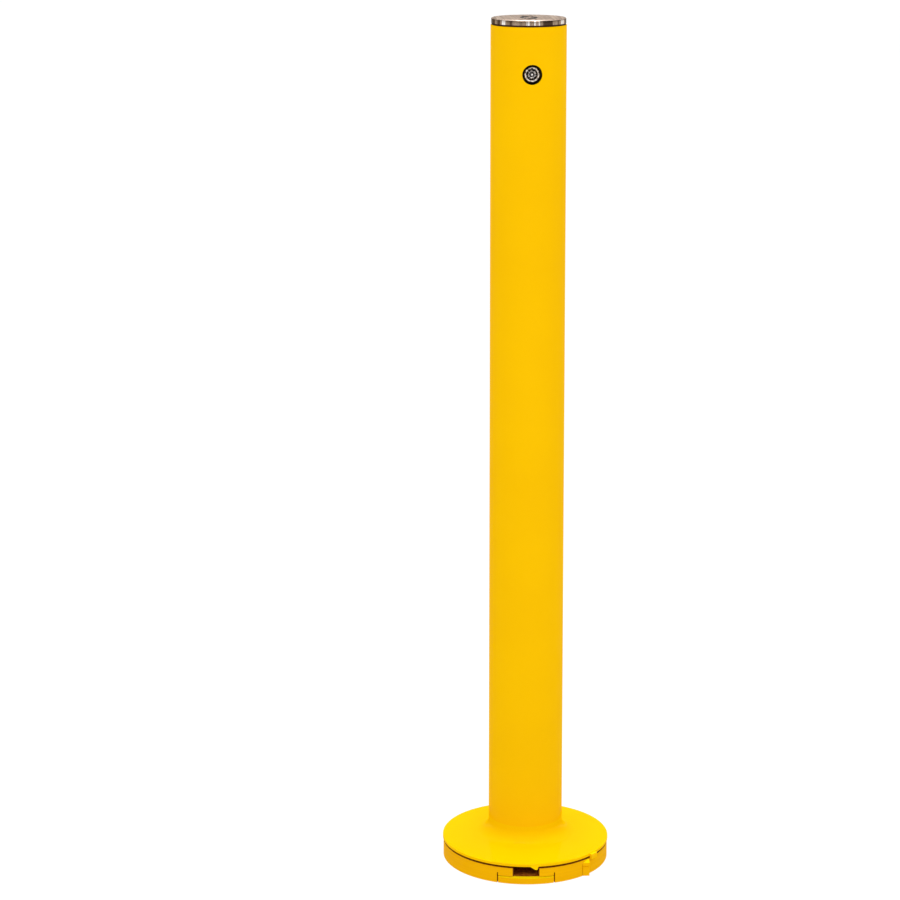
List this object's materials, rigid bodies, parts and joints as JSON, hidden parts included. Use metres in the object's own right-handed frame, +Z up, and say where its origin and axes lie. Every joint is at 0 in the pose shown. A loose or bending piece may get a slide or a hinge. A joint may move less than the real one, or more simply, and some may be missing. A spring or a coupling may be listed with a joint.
{
  "type": "removable bollard",
  "caption": "Yellow tubular steel bollard with a flared foot on a low round base, a stainless turning cap and a key lock in the tube.",
  "frame": {"origin": "on the ground, at the centre of the base's underside and of its anchor holes", "axes": "+Z up along the post; -Y is the front, where the lock faces; +X is to the right for someone looking at the front"},
  "size_m": [0.2006, 0.2026, 1.0204],
  "materials": {
    "yellow_paint": "gloss polyester powder coat on steel and iron",
    "stainless": "brushed top, polished edge",
    "lock_nickel": "satin nickel plate",
    "zinc_steel": "bright zinc plate",
    "black_steel": "black oxide on steel",
    "nylon": "black nylon",
    "seal_rubber": "dark rubber",
    "bronze": "plain bearing bronze"
  },
  "bodies": {
    "base": {"base_casting": "yellow_paint", "sill_block": "yellow_paint", "sill_screws": "zinc_steel", "keeper_plate": "zinc_steel", "keeper_screws": "zinc_steel", "seat_ring": "nylon"},
    "post": {"post_tube": "yellow_paint", "foot_flange": "yellow_paint", "foot_bush": "nylon", "rod_guide_lower": "zinc_steel", "rod_bush": "nylon", "rod_guide_middle": "zinc_steel", "head_block": "zinc_steel", "head_bush": "bronze", "thrust_washer": "bronze", "disc_spring": "zinc_steel", "stop_pin": "zinc_steel", "cap_seal": "seal_rubber", "lock_barrel": "lock_nickel", "lock_nut": "black_steel", "lock_carrier": "black_steel", "carrier_screws": "zinc_steel", "carrier_cover": "black_steel", "cover_screws": "zinc_steel"},
    "cap_drive": {"top_cap": "stainless", "cap_screws": "zinc_steel", "cap_spindle": "zinc_steel", "index_plate": "zinc_steel", "spindle_clip": "zinc_steel", "rod_pin": "zinc_steel", "drive_rod": "zinc_steel", "tee_cam": "zinc_steel", "cam_nut": "zinc_steel"},
    "lock_core": {"lock_core": "lock_nickel", "tumbler_pins": "lock_nickel", "crank_disc": "zinc_steel", "crank_screw": "zinc_steel"},
    "lock_bolt": {"lock_bolt": "zinc_steel"}
  },
  "joints": [
    {"name": "post_lift", "type": "slide", "parent": "base", "child": "post", "axis": [0, 0, 1], "range_m": [0, 0.15]},
    {"name": "cap_turn", "type": "hinge", "parent": "post", "child": "cap_drive", "pos_m": [0, 0, 1], "axis": [0, 0, 1], "range_deg": [-90, 0]},
    {"name": "key_turn", "type": "hinge", "parent": "post", "child": "lock_core", "pos_m": [0, -0.02, 0.9573], "axis": [0, -1, 0], "range_deg": [0, 90]},
    {"name": "bolt_slide", "type": "slide", "parent": "post", "child": "lock_bolt", "axis": [0, 0, 1], "range_m": [0, 0.0096]}
  ],
  "couplings": [
    {"joint": "bolt_slide", "follows": "key_turn", "m_per_rad": 0.006032}
  ]
}
